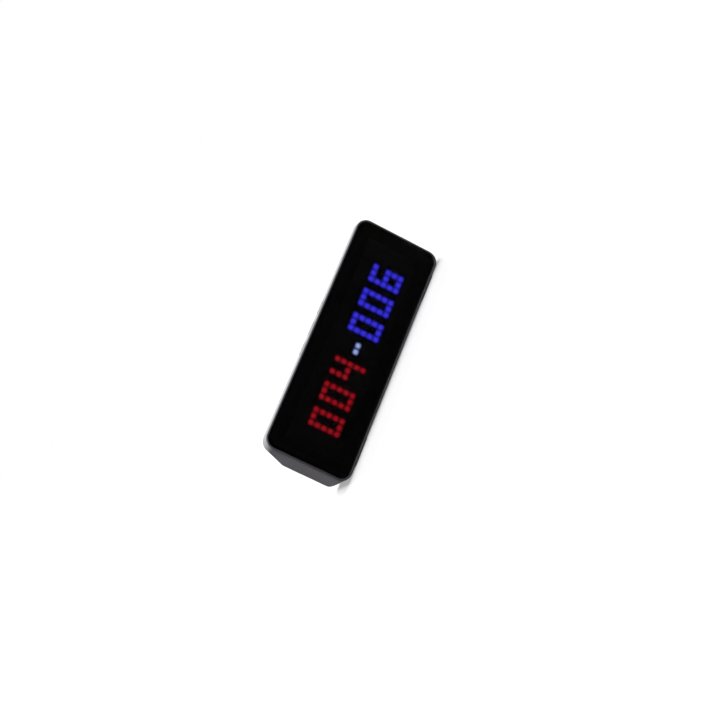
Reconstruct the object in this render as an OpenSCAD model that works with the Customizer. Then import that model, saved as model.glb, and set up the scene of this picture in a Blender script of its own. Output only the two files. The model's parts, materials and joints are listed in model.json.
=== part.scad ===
// Smart pixel clock: a free-standing desk clock with a grid of coloured pixels behind a smoked lens.
// Frame: X runs to the right, Y to the back and Z up.
// The origin lies on the table under the middle of the case.
// Depths are measured backwards from the front rim, and face heights from the middle of the front face.

/* [Case] */
// Width of the case
body_w = 200; // [192:1:230]
// Height of the case above its feet
body_h = 71; // [70.5:0.5:78]
// Depth of the case from the front rim to the back
body_d = 32; // [31.5:0.5:40]
// Radius of the four corners seen from the front
corner_r = 9.3; // [7:0.1:10]
// Depth of the level ledge along the top
top_ledge = 9; // [8.6:0.1:11]
// Height of the upright back wall
back_h = 50; // [49.5:0.5:54]
// Rounding of the long edges round the back
edge_r = 3; // [1.8:0.1:4]
// Rounding of the slanted upper back at its two ends
slant_r = 5; // [4:0.1:7]
// Rounding of the upright edges at the back
end_r = 1; // [0.5:0.1:2]
// Thickness of the case walls
wall = 3; // [2.8:0.1:3.3]
// Width of the rim that shows round the lens
rim_w = 1.5; // [1.2:0.1:1.7]
// Rounding of the rim's outer edge
rim_r = 0.9; // [0.3:0.1:1]

/* [Lens] */
// Thickness of the smoked lens
lens_t = 2; // [1.6:0.1:2.3]
// How far the lens lies below the rim
lens_recess = 0.2; // [0.1:0.05:0.4]
// Gap round the lens inside its rim
lens_gap = 0.15; // [0.1:0.05:0.2]
// Thickness of the adhesive tape behind the lens
tape_t = 0.3; // [0.2:0.05:0.4]

/* [Display] */
// Pixels along the display
pixel_cols = 32; // [28:1:32]
// Pixels up the display
pixel_rows = 8; // [6:1:8]
// Case left free at each end of the pixels
pixel_end = 12.8; // [12:0.1:16]
// Case left free above and below the pixels
pixel_edge = 13.7; // [13.3:0.1:15]
// Wall between two pixel cells
cell_wall = 0.8; // [0.6:0.1:1.2]
// Depth of the pixel cells
grid_t = 4.4; // [4:0.1:4.8]
// Thickness of the diffuser film
film_t = 0.4; // [0.3:0.1:0.6]
// Gap between the lens and the film
film_gap = 0.1; // [0.1:0.05:0.2]
// Side of one pixel lamp
lamp_size = 3.5; // [3:0.1:3.7]
// Height of one pixel lamp
lamp_t = 1.4; // [1:0.1:1.8]
// Thickness of the display board and the main board
board_t = 1.6; // [1.2:0.1:1.8]
// Free edge of the display board above and below the pixels
board_edge = 5; // [4.8:0.1:5.3]
// Free edge of the display board left and right of the pixels
board_end = 3; // [2:0.5:5]
// Thickness of the ears that fasten the pixel grid
ear_t = 2; // [1.6:0.1:2.4]

/* [Keys] */
// Length of a top key
key_l = 12; // [9:0.5:14]
// Width of a top key
key_w = 4; // [3.4:0.1:4.2]
// Spacing of the top keys
key_step = 18; // [17:0.5:22]
// Depth of the middle of the keys behind the front rim
key_depth = 5.6; // [5.5:0.1:5.7]
// How far a key stands above the case
key_proud = 0.6; // [0.3:0.1:1]
// Travel of a key
key_travel = 0.4; // [0.2:0.05:0.5]
// Gap round a key in its slot
key_gap = 0.25; // [0.2:0.05:0.3]
// Width of the flange that keeps a key in its slot
key_flange = 0.6; // [0.5:0.1:0.7]
// Thickness of that flange
flange_t = 0.8; // [0.6:0.1:0.9]
// Radius of the crown across a key's top
key_crown_r = 6; // [4:0.5:12]
// Side of a key switch
switch_size = 4; // [3.6:0.1:4.2]
// Height of a key switch
switch_h = 1.6; // [1.5:0.1:1.8]
// Radius of a key switch's plunger
plunger_r = 1.1; // [0.9:0.1:1.2]
// Thickness of the key board
key_board_t = 1.2; // [1:0.1:1.3]

/* [Rear cover] */
// Thickness of the rear cover
cover_t = 1.6; // [1.5:0.1:1.8]
// Case wall left round the rear cover
cover_margin = 4; // [3.6:0.1:4.2]
// Width of the seat that the rear cover rests on
cover_seat = 1.6; // [1.4:0.1:1.8]
// Gap round the rear cover
cover_gap = 0.15; // [0.1:0.05:0.25]
// Corner radius of the rear cover
cover_r = 4; // [3:0.5:5]
// Distance of the cover screws from the cover's edges
cover_screw_inset = 5; // [4.8:0.1:5.4]
// Radius of the case posts that take the cover screws
cover_post_r = 3.2; // [3:0.1:3.6]
// Length of those posts
cover_post_l = 9; // [8.5:0.5:11]

/* [Main board] */
// Width of the main board
main_w = 72; // [71:1:78]
// Height of the main board
main_h = 32; // [31.5:0.5:34]
// Width of the charging socket
usb_w = 8.94; // [8.7:0.02:9.1]
// Height of the charging socket
usb_h = 3.26; // [3.1:0.02:3.4]
// Length of the charging socket, which stands up from the main board
usb_l = 6.9; // [6.6:0.1:7.4]
// Thickness of the charging socket's metal
usb_t = 0.3; // [0.25:0.05:0.4]
// Radius of the power key
power_r = 3.2; // [2.8:0.1:3.6]
// How far the power key lies below the back face
power_sink = 0.3; // [0.2:0.1:0.5]
// Travel of the power key
power_travel = 0.4; // [0.2:0.05:0.5]
// Side of the power switch
power_switch_size = 6; // [5:0.1:6.4]
// Height of the power switch
power_switch_h = 3; // [2.6:0.1:3.2]
// Radius of the buzzer
buzzer_r = 4.5; // [4:0.1:4.8]
// Height of the buzzer
buzzer_h = 3.6; // [3:0.1:4]
// Width of the radio module
radio_w = 18; // [16:0.5:18]
// Height of the radio module
radio_h = 25.5; // [22:0.5:26]

/* [Battery] */
// Greatest diameter of a battery cell
cell_max_d = 18.3; // [14:0.1:18.5]
// Greatest length of a battery cell
cell_max_l = 65; // [50:1:70]
// Thickness of the sleeve round the cells
sleeve_t = 0.3; // [0.2:0.05:0.35]
// Thickness of the foam pads that hold the battery
pad_t = 0.9; // [0.8:0.1:1.2]
// Diameter of a battery lead
lead_d = 1.5; // [1.2:0.1:1.7]
// Bend radius of the battery leads
lead_bend = 3.2; // [2.6:0.1:3.6]

/* [Feet] */
// Length of a rubber foot
foot_l = 26; // [16:1:40]
// Width of a rubber foot
foot_w = 6; // [5:0.5:7]
// How far a foot stands below the case
foot_h = 0.8; // [0.5:0.1:1.5]
// How deep a foot sits in the case
foot_sink = 0.7; // [0.5:0.1:1]
// Distance of a foot's middle from the case's end
foot_inset = 28; // [24:1:40]

/* [Screws] */
// Shank radius of the board screws
screw_r = 0.95; // [0.8:0.05:1]
// Head radius of the board screws
screw_head_r = 1.8; // [1.6:0.1:1.9]
// Head height of the board screws
screw_head_t = 1.2; // [1:0.1:1.3]
// Length of the board screws' grip in their posts
screw_grip = 4; // [3.5:0.5:4.5]
// Shank radius of the key board screws
key_screw_r = 0.75; // [0.6:0.05:0.8]
// Head radius of the key board screws
key_screw_head_r = 1.4; // [1.2:0.1:1.5]
// Head height of the key board screws
key_screw_head_t = 0.8; // [0.6:0.1:0.9]
// Head radius of the countersunk cover screws
cover_head_r = 2.2; // [2:0.1:2.4]
// Gap round a screw in the hole that it passes through
screw_gap = 0.25; // [0.2:0.05:0.3]
// Gap round a screw in the pilot hole that it bites into
bite_gap = 0.05; // [0.03:0.01:0.06]

/* [Hidden] */
$fn = 64;

// Overlap of cutting shapes past the faces that they open
over = 1;
// Least rounding of an inner edge
min_r = 0.5;
front_y = -body_d / 2;
face_z = foot_h + body_h / 2;
slope_angle = atan2(body_h - back_h, body_d - top_ledge);

// Depths of the layers behind the front rim
lens_seat = lens_recess + lens_t + tape_t;
film_d = lens_recess + lens_t + film_gap;
grid_d = film_d + film_t;
board_d = grid_d + grid_t;
board_back_d = board_d + board_t;

// Display
pixel_pitch = min((body_w - 2 * pixel_end) / pixel_cols, (body_h - 2 * pixel_edge) / pixel_rows);
pixels_w = pixel_cols * pixel_pitch;
pixels_h = pixel_rows * pixel_pitch;
cell_open = pixel_pitch - cell_wall;
lamp_gap = 0.2;
lamp_side = min(lamp_size, cell_open - 2 * lamp_gap);
display_board_w = pixels_w + 2 * board_end;
display_board_h = pixels_h + 2 * board_edge;
ear_r = 2.3;
ear_overlap = 0.2;
ear_end = 5;
ear_v = (pixels_h + cell_wall) / 2 + ear_r - ear_overlap;
ear_x = pixels_w / 2 - ear_end;
ear_places = [for (x = [-ear_x, 0, ear_x], v = [-ear_v, ear_v]) [x, v]];
display_post_r = 2.4;
pilot_spare = 0.5;
post_floor = 2;
display_post_l = screw_grip + pilot_spare + post_floor;
lamp_notch = 0.7;
sensor_size = [3, 2, 1.2];
sensor_x = ear_x / 3;

// Driver crosses in the screws' heads
cross_w = 0.6;
cross_t = 0.7;
key_cross_t = 0.5;
cross_share = 0.62;

// Keys, from the case's top downwards
case_top = foot_h + body_h;
ceiling_z = case_top - wall;
flange_gap = 0.15;
flange_z = ceiling_z - flange_gap;
plunger_top = flange_z - flange_t;
plunger_rest = 0.3;
plunger_show = key_travel + plunger_rest;
switch_top = plunger_top - plunger_show;
plunger_gap = 0.15;
plunger_sunk = 0.6;
plunger_floor = 0.2;
switch_z = switch_top - switch_h;
key_board_z = switch_z - key_board_t;
key_board_w = key_w + 2 * key_flange;
key_places = [-key_step, 0, key_step];
key_post_r = 1.9;
key_post_gap = 0.8;
key_screw_x = key_step + key_l / 2 + key_flange + key_post_r + key_post_gap;
key_board_edge = 1;
key_board_end = key_screw_x + key_post_r + key_board_edge;
key_board_tail = 11;
key_screw_grip = 2.6;
key_screw_l = key_board_t + key_screw_grip;
key_pilot_spare = 0.2;

// Ribbons and their sockets
ribbon_t = 0.2;
key_socket = [6, 3, 1.2];
key_socket_x = key_board_end + key_board_tail / 2;
key_ribbon_w = 4;
key_ribbon_d = board_back_d + key_socket[2] / 2;
key_ribbon_z = switch_z + key_socket[2] / 2;
key_ribbon_bend = 1;
key_ribbon_start = 0.2;
key_socket_depth = key_ribbon_d - key_ribbon_bend - key_socket[1] - key_ribbon_start;
key_ribbon_run = 5;
key_ribbon_low = key_board_z - key_ribbon_run;
display_socket = [10, 4, 2];
display_ribbon_w = 8;
display_ribbon_run = 6;

// Rear cover
back_mid = foot_h + back_h / 2;
cover_w = body_w - 2 * cover_margin;
cover_h = back_h - 2 * cover_margin;
cover_d = body_d - cover_t;
cover_screw_x = cover_w / 2 - cover_screw_inset;
cover_screw_v = cover_h / 2 - cover_screw_inset;
cover_places = [for (x = [-1, 1], v = [-1, 1]) [x * cover_screw_x, v * cover_screw_v]];
cover_post_floor = 1;
cover_screw_l = cover_post_l - cover_post_floor;
cover_head_t = 1.2;
cover_lip_t = 1.2;
cover_lip_h = wall - cover_t;

// Main board, which stands on posts of the rear cover
main_end_gap = 1;
inner_end = cover_screw_x - cover_post_r - main_end_gap;
main_x = inner_end - main_w / 2;
main_back_d = body_d - power_sink - usb_l;
main_d = main_back_d - board_t;
main_screw_inset = 3.2;
main_places = [for (x = [-1, 1], v = [-1, 1])
    [main_x + x * (main_w / 2 - main_screw_inset), v * (main_h / 2 - main_screw_inset)]];
main_post_r = 2.5;
main_corner_r = 1;
usb_shift = -4;
usb_x = main_x + usb_shift;
usb_gap = 0.25;
usb_floor = 0.7;
tongue_w = 6.7;
tongue_t = 0.7;
tongue_short = 0.8;
power_shift = 14;
power_x = main_x + power_shift;
power_gap = 0.25;
power_flange = 1;
power_flange_t = 0.8;
power_flange_d = cover_d - flange_gap;
power_plunger_r = 1.7;
power_plunger_d = power_flange_d - power_flange_t;
power_plunger_sunk = 0.9;
power_switch_d = main_back_d + power_switch_h;
buzzer_inset = 12;
buzzer_x = main_x - main_w / 2 + buzzer_inset;
buzzer_hole_r = 1;
sound_hole_r = 0.6;
sound_ring_r = 2.2;
sound_holes = 6;
radio_inset = 7;
radio_x = main_x + main_w / 2 - radio_w / 2 - radio_inset;
radio_board_t = 0.8;
radio_shield_t = 2.3;
radio_rim = 1;
radio_antenna = 6;
chip_inset = 18;
chip_x = main_x - main_w / 2 + chip_inset;
chip_step = 8;
large_chip = [5, 4, 1.5];
small_chip = [4, 4, 0.9];
coil_shift = 7;
coil_size = 5;
coil_r = 1;
coil_t = 3;
coil_gap = 1.5;
display_ribbon_x = chip_x + coil_shift + coil_size / 2 + coil_gap + display_socket[0] / 2;
climate_inset = 8;
climate_x = main_x + main_w / 2 - climate_inset;
climate_size = [2.5, 2.5, 1];
vent_w = 1.2;
vent_l = 7;
vent_step = 2.6;
vents = 5;

// Battery plug and socket at the end of the main board
socket_size = [7, 6.4, 5];
socket_wall = 0.6;
socket_inset = 0.5;
socket_x = main_x - main_w / 2 + socket_inset;
socket_v = 5.5;
plug_show = 2.5;
plug_sunk = 4.5;
plug_gap = 0.1;
plug_x = socket_x - plug_show;

// Battery, which fills at most the room between the display board, the cover and the plug
sleeve_gap = 0.05;
sleeve_end = 0.5;
pack_gap = 1.5;
pack_front_gap = 0.6;
pack_room_d = cover_d - pad_t - board_back_d - pack_front_gap;
cell_d = min(cell_max_d, pack_room_d - 2 * sleeve_gap - 2 * sleeve_t);
cell_r = cell_d / 2;
cell_gap = 0.3;
cell_step = cell_d + cell_gap;
sleeve_r = cell_r + sleeve_gap + sleeve_t;
pack_d = cover_d - pad_t - sleeve_r;
pack_left = -ear_x + display_post_r + pack_gap;
lead_room = 2 * lead_bend + 2 * lead_d;
cell_l = min(cell_max_l, plug_x - lead_room - pack_left - 2 * sleeve_end);
pack_l = cell_l + 2 * sleeve_end;
pack_right = pack_left + pack_l;
pad_share = 0.76;
pad_l = pad_share * pack_l;
pad_h = 7;
tray_gap = 0.3;
tray_t = 1.2;
tray_h = 6;
tray_v = 9;
cell_button_r = 2.8;
cell_button_t = 0.4;
lead_d0 = main_d - socket_size[2] / 2;
lead_step = 2;
lead_rise = 3;
lead_v = cell_step / 2 + lead_rise;
lead_start = pack_right - sleeve_end;
lead_mid = (lead_start + plug_x) / 2;

// Feet
foot_gap = 0.1;
foot_edge = 2.5;
foot_front = foot_w / 2 + foot_edge;
foot_back = body_d - edge_r - foot_front;
foot_places = [for (x = [-1, 1], d = [foot_front, foot_back]) [x * (body_w / 2 - foot_inset), d]];

// A flat outline seen from the front, made solid between two depths
module layer(d0, d1) {
    translate([0, front_y + d1, 0])
        rotate([90, 0, 0])
            linear_extrude(d1 - d0)
                children();
}

// A flat outline seen from above, with Y as depth, made solid between two heights
module plan(z0, z1) {
    translate([0, front_y, z0])
        linear_extrude(z1 - z0)
            children();
}

// A flat outline seen from the right, with X as depth and Y as height, made solid between two ends
module profile(x0, x1) {
    translate([x0, front_y, 0])
        rotate([90, 0, 90])
            linear_extrude(x1 - x0)
                children();
}

// A round bar that runs backwards from one depth to another
module bar(x, z, r, d0, d1) {
    layer(d0, d1)
        translate([x, z])
            circle(r);
}

// A rectangle with four round corners
module round_rect(w, h, r) {
    square([w, h - 2 * r], center = true);
    square([w - 2 * r, h], center = true);
    for (x = [-1, 1], y = [-1, 1])
        translate([x * (w / 2 - r), y * (h / 2 - r)])
            circle(r);
}

// A bar with half-round ends
module pill(l, w) {
    square([l - w, w], center = true);
    for (x = [-1, 1])
        translate([x * (l - w) / 2, 0])
            circle(w / 2);
}

function unit(v) = v / norm(v);

// Where the round of a corner starts, where it ends and where its middle lies
function corner_round(before, tip, after, r) =
    let (a = unit(before - tip), b = unit(after - tip), half = acos(a * b) / 2)
    [tip + a * r / tan(half), tip + b * r / tan(half), tip + unit(a + b) * r / sin(half)];

// A polygon whose corners are rounded by true arcs, with 0 for a sharp one
module soft_polygon(points, radii) {
    n = len(points);
    rounds = [for (i = [0:n - 1])
        corner_round(points[(i + n - 1) % n], points[i], points[(i + 1) % n], radii[i])];
    polygon([for (i = [0:n - 1]) for (k = [0:radii[i] > 0 ? 1 : 0]) rounds[i][k]]);
    for (i = [0:n - 1])
        if (radii[i] > 0)
            translate(rounds[i][2])
                circle(radii[i]);
}

// The case's side view, drawn in by a wall, from a given front depth to the back
module side_view(inset, front) {
    r = max(edge_r - inset, min_r);
    profile(-body_w / 2, body_w / 2)
        translate([0, foot_h])
            soft_polygon(
                [
                    [front, inset],
                    [body_d - inset, inset],
                    [body_d - inset, back_h - inset * tan(45 - slope_angle / 2)],
                    [top_ledge - inset * tan(slope_angle / 2), body_h - inset],
                    [front, body_h - inset]
                ],
                [0, r, r, r, 0]);
}

// Half of a section through the case's front edge, measured from the middle of a side or of a corner's arc
module edge_section(reach) {
    translate([0, rim_r])
        square([reach, body_d - rim_r]);
    square([reach - rim_r, body_d]);
    translate([reach - rim_r, rim_r])
        circle(rim_r);
}

// The same section on both sides of the middle
module edge_bar(width) {
    edge_section(width / 2);
    mirror([1, 0])
        edge_section(width / 2);
}

// The case seen from the front as a bar that runs backwards, with its front edge rounded all round
module front_bar() {
    across = body_w / 2 - corner_r;
    up = body_h / 2 - corner_r;
    translate([0, front_y, face_z])
        rotate([-90, 0, 0]) {
            translate([0, up, 0])
                rotate([90, 0, 0])
                    linear_extrude(2 * up)
                        edge_bar(body_w);
            translate([-across, 0, 0])
                rotate([90, 0, 90])
                    linear_extrude(2 * across)
                        edge_bar(body_h);
            for (i = [0:3])
                translate([i == 0 || i == 3 ? across : -across, i < 2 ? up : -up, 0])
                    rotate(90 * i)
                        rotate_extrude(angle = 90)
                            edge_section(corner_r);
        }
}

// The case seen from above, with its two back corners rounded
module plan_bar() {
    plan(foot_h, case_top)
        soft_polygon(
            [
                [-body_w / 2, 0],
                [body_w / 2, 0],
                [body_w / 2, body_d],
                [-body_w / 2, body_d]
            ],
            [0, 0, end_r, end_r]);
}

// A round-cornered bar along the slanted upper back, which rounds the slant's ends
module slant_bar(inset) {
    translate([0, front_y + top_ledge, case_top])
        rotate([-slope_angle, 0, 0])
            translate([0, body_h, -inset - body_h])
                rotate([90, 0, 0])
                    linear_extrude(2 * body_h)
                        round_rect(body_w - 2 * inset, 2 * body_h, slant_r - inset);
}

// The case's outer form
module case_outside() {
    intersection() {
        front_bar();
        side_view(0, 0);
        slant_bar(0);
        plan_bar();
    }
}

// The case's form drawn in by a wall and open at the front
module case_form(inset, front) {
    intersection() {
        layer(front, body_d)
            translate([0, face_z])
                round_rect(body_w - 2 * inset, body_h - 2 * inset, corner_r - inset);
        side_view(inset, front);
        slant_bar(inset);
    }
}

// The posts inside the case, each joined to the nearest wall
module case_posts() {
    for (p = ear_places) {
        side = p[1] > 0 ? 1 : -1;
        layer(board_back_d, board_back_d + display_post_l)
            translate([p[0], face_z + p[1]]) {
                circle(display_post_r);
                translate([-display_post_r, side > 0 ? 0 : -body_h / 2])
                    square([2 * display_post_r, body_h / 2]);
            }
    }
    for (p = cover_places) {
        side = p[0] > 0 ? 1 : -1;
        layer(cover_d - cover_post_l, cover_d)
            translate([p[0], back_mid + p[1]]) {
                circle(cover_post_r);
                translate([side > 0 ? 0 : -body_w / 2, -cover_post_r])
                    square([body_w / 2, 2 * cover_post_r]);
            }
    }
    for (x = [-1, 1])
        plan(key_board_z + key_board_t, case_top)
            translate([x * key_screw_x, key_depth])
                circle(key_post_r);
}

module housing() {
    color("silver")
        difference() {
            union() {
                difference() {
                    case_outside();
                    case_form(wall, -over);
                    layer(-over, lens_seat)
                        translate([0, face_z])
                            round_rect(body_w - 2 * rim_w, body_h - 2 * rim_w, corner_r - rim_w);
                    layer(cover_d, body_d + over)
                        translate([0, back_mid])
                            round_rect(cover_w, cover_h, cover_r);
                    layer(cover_d - wall, body_d)
                        translate([0, back_mid])
                            round_rect(cover_w - 2 * cover_seat, cover_h - 2 * cover_seat,
                                cover_r - cover_seat);
                }
                intersection() {
                    case_posts();
                    case_form(wall / 2, 0);
                }
            }
            for (x = key_places)
                translate([x, 0, 0]) {
                    plan(ceiling_z - over, case_top + over)
                        translate([0, key_depth])
                            pill(key_l + 2 * key_gap, key_w + 2 * key_gap);
                    plan(plunger_top - key_travel - key_gap, ceiling_z)
                        translate([0, key_depth])
                            pill(key_l + 2 * key_flange + 2 * key_gap, key_w + 2 * key_flange + 2 * key_gap);
                }
            for (p = ear_places)
                bar(p[0], face_z + p[1], screw_r + bite_gap,
                    board_back_d - over, board_back_d + screw_grip + pilot_spare);
            for (p = cover_places)
                bar(p[0], back_mid + p[1], screw_r + bite_gap, cover_d - cover_screw_l, cover_d + over);
            for (x = [-1, 1])
                plan(key_board_z - over, key_board_z + key_screw_l + key_pilot_spare)
                    translate([x * key_screw_x, key_depth])
                        circle(key_screw_r + bite_gap);
            for (p = foot_places)
                plan(foot_h - over, foot_h + foot_sink)
                    translate(p)
                        pill(foot_l + 2 * foot_gap, foot_w + 2 * foot_gap);
        }
}

module front_lens() {
    color("black")
        layer(lens_recess, lens_recess + lens_t)
            translate([0, face_z])
                round_rect(body_w - 2 * rim_w - 2 * lens_gap, body_h - 2 * rim_w - 2 * lens_gap,
                    corner_r - rim_w - lens_gap);
}

module lens_tape() {
    edge = rim_w + lens_gap;
    color("dimgray")
        layer(lens_seat - tape_t, lens_seat)
            translate([0, face_z])
                difference() {
                    round_rect(body_w - 2 * edge, body_h - 2 * edge, corner_r - edge);
                    round_rect(body_w - 2 * wall, body_h - 2 * wall, corner_r - wall);
                }
}

module diffuser_film() {
    color("white")
        layer(film_d, film_d + film_t)
            translate([0, face_z])
                square([pixels_w + cell_wall, pixels_h + cell_wall], center = true);
}

// The light guide of one square cell for each pixel, with ears that share the display board's screws
module pixel_grid() {
    color("black")
        difference() {
            union() {
                layer(grid_d, board_d)
                    translate([0, face_z])
                        difference() {
                            square([pixels_w + cell_wall, pixels_h + cell_wall], center = true);
                            for (c = [0:pixel_cols - 1], r = [0:pixel_rows - 1])
                                translate([
                                    (c - (pixel_cols - 1) / 2) * pixel_pitch,
                                    (r - (pixel_rows - 1) / 2) * pixel_pitch
                                ])
                                    square(cell_open, center = true);
                        }
                for (p = ear_places)
                    bar(p[0], face_z + p[1], ear_r, board_d - ear_t, board_d);
            }
            for (p = ear_places)
                bar(p[0], face_z + p[1], screw_r + screw_gap, board_d - ear_t - over, board_d + over);
        }
}

module display_board() {
    color("darkgreen")
        layer(board_d, board_back_d)
            translate([0, face_z])
                difference() {
                    square([display_board_w, display_board_h], center = true);
                    for (p = ear_places)
                        translate(p)
                            circle(screw_r + screw_gap);
                }
}

// One square lamp behind each pixel, with a notched corner that marks its first leg
module pixel_lamps() {
    half = lamp_side / 2;
    color("ivory")
        for (c = [0:pixel_cols - 1], r = [0:pixel_rows - 1])
            layer(board_d - lamp_t, board_d)
                translate([
                    (c - (pixel_cols - 1) / 2) * pixel_pitch,
                    face_z + (r - (pixel_rows - 1) / 2) * pixel_pitch
                ])
                    polygon([
                        [-half, -half],
                        [half, -half],
                        [half, half - lamp_notch],
                        [half - lamp_notch, half],
                        [-half, half]
                    ]);
}

module light_sensor() {
    color("gainsboro")
        layer(board_d - sensor_size[2], board_d)
            translate([sensor_x, face_z + ear_v])
                square([sensor_size[0], sensor_size[1]], center = true);
}

// A driver's cross, seen from the front
module driver_cross(reach) {
    square([2 * reach, cross_w], center = true);
    square([cross_w, 2 * reach], center = true);
}

// A pan-head screw that points backwards from the face under its head
module pan_screw(x, z, d, l) {
    difference() {
        union() {
            bar(x, z, screw_head_r, d - screw_head_t, d);
            bar(x, z, screw_r, d - screw_head_t / 2, d + l);
        }
        layer(d - screw_head_t - over, d - screw_head_t + cross_t)
            translate([x, z])
                driver_cross(cross_share * screw_head_r);
    }
}

module display_screws() {
    color("lightgray")
        for (p = ear_places)
            pan_screw(p[0], face_z + p[1], board_d - ear_t, ear_t + board_t + screw_grip);
}

// A flat socket on the back of the display board and its twin on the front of the main board
module display_sockets() {
    color("white")
        for (d = [board_back_d, main_d - display_socket[2]])
            layer(d, d + display_socket[2])
                translate([display_ribbon_x, back_mid])
                    square([display_socket[0], display_socket[1]], center = true);
}

// The flat ribbon leaves both sockets downwards and joins them in a half-round loop
module display_ribbon() {
    d0 = board_back_d + display_socket[2] / 2;
    d1 = main_d - display_socket[2] / 2;
    bend = (d1 - d0) / 2;
    high = back_mid - display_socket[1] / 2;
    low = high - display_ribbon_run;
    color("ghostwhite")
        profile(display_ribbon_x - display_ribbon_w / 2, display_ribbon_x + display_ribbon_w / 2) {
            for (d = [d0, d1])
                translate([d - ribbon_t / 2, low])
                    square([ribbon_t, display_ribbon_run]);
            translate([(d0 + d1) / 2, low])
                difference() {
                    circle(bend + ribbon_t / 2);
                    circle(bend - ribbon_t / 2);
                    translate([-body_d, 0])
                        square(2 * body_d);
                }
        }
}

// A key cap: a crowned pill above a flange that stops it from below
module key_cap(x) {
    crown_z = case_top + key_proud - key_crown_r;
    color("silver")
        translate([x, 0, 0]) {
            intersection() {
                plan(flange_z - flange_t / 2, case_top + key_proud)
                    translate([0, key_depth])
                        pill(key_l, key_w);
                translate([-key_l, front_y + key_depth, crown_z])
                    rotate([0, 90, 0])
                        cylinder(h = 2 * key_l, r = key_crown_r);
            }
            plan(flange_z - flange_t, flange_z)
                translate([0, key_depth])
                    pill(key_l + 2 * key_flange, key_w + 2 * key_flange);
        }
}

module key_left() {
    key_cap(-key_step);
}

module key_select() {
    key_cap(0);
}

module key_right() {
    key_cap(key_step);
}

// The plunger of a key switch, which the key's flange rests on
module key_plunger(x) {
    color("black")
        plan(switch_top - plunger_sunk, plunger_top)
            translate([x, key_depth])
                circle(plunger_r);
}

module key_left_plunger() {
    key_plunger(-key_step);
}

module key_select_plunger() {
    key_plunger(0);
}

module key_right_plunger() {
    key_plunger(key_step);
}

module key_switches() {
    sunk = plunger_sunk + key_travel + plunger_floor;
    color("gainsboro")
        for (x = key_places)
            difference() {
                plan(switch_z, switch_top)
                    translate([x, key_depth])
                        square(switch_size, center = true);
                plan(switch_top - sunk, switch_top + over)
                    translate([x, key_depth])
                        circle(plunger_r + plunger_gap);
            }
}

module key_board() {
    color("darkgreen")
        plan(key_board_z, switch_z)
            translate([0, key_depth])
                difference() {
                    translate([-key_board_end, -key_board_w / 2])
                        square([2 * key_board_end + key_board_tail, key_board_w]);
                    for (x = [-1, 1])
                        translate([x * key_screw_x, 0])
                            circle(key_screw_r + screw_gap);
                }
}

module key_board_screws() {
    color("lightgray")
        for (x = [-1, 1])
            difference() {
                union() {
                    plan(key_board_z - key_screw_head_t, key_board_z)
                        translate([x * key_screw_x, key_depth])
                            circle(key_screw_head_r);
                    plan(key_board_z - key_screw_head_t / 2, key_board_z + key_screw_l)
                        translate([x * key_screw_x, key_depth])
                            circle(key_screw_r);
                }
                plan(key_board_z - key_screw_head_t - over, key_board_z - key_screw_head_t + key_cross_t)
                    translate([x * key_screw_x, key_depth])
                        driver_cross(cross_share * key_screw_head_r);
            }
}

// A small flat socket on top of the key board and its twin on the back of the display board
module key_sockets() {
    color("white") {
        plan(switch_z, switch_z + key_socket[2])
            translate([key_socket_x - key_socket[0] / 2, key_socket_depth])
                square([key_socket[0], key_socket[1]]);
        layer(board_back_d, board_back_d + key_socket[2])
            translate([key_socket_x - key_socket[0] / 2, key_ribbon_low - key_socket[1]])
                square([key_socket[0], key_socket[1]]);
    }
}

// The key ribbon runs back from the key board and bends down behind the display board
module key_ribbon() {
    start = key_socket_depth + key_socket[1];
    turn = key_ribbon_d - key_ribbon_bend;
    color("ghostwhite")
        profile(key_socket_x - key_ribbon_w / 2, key_socket_x + key_ribbon_w / 2) {
            translate([start, key_ribbon_z - ribbon_t / 2])
                square([turn - start, ribbon_t]);
            translate([turn, key_ribbon_z - key_ribbon_bend])
                intersection() {
                    difference() {
                        circle(key_ribbon_bend + ribbon_t / 2);
                        circle(key_ribbon_bend - ribbon_t / 2);
                    }
                    square(2 * key_ribbon_bend);
                }
            translate([key_ribbon_d - ribbon_t / 2, key_ribbon_low])
                square([ribbon_t, key_ribbon_z - key_ribbon_bend - key_ribbon_low]);
        }
}

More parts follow.
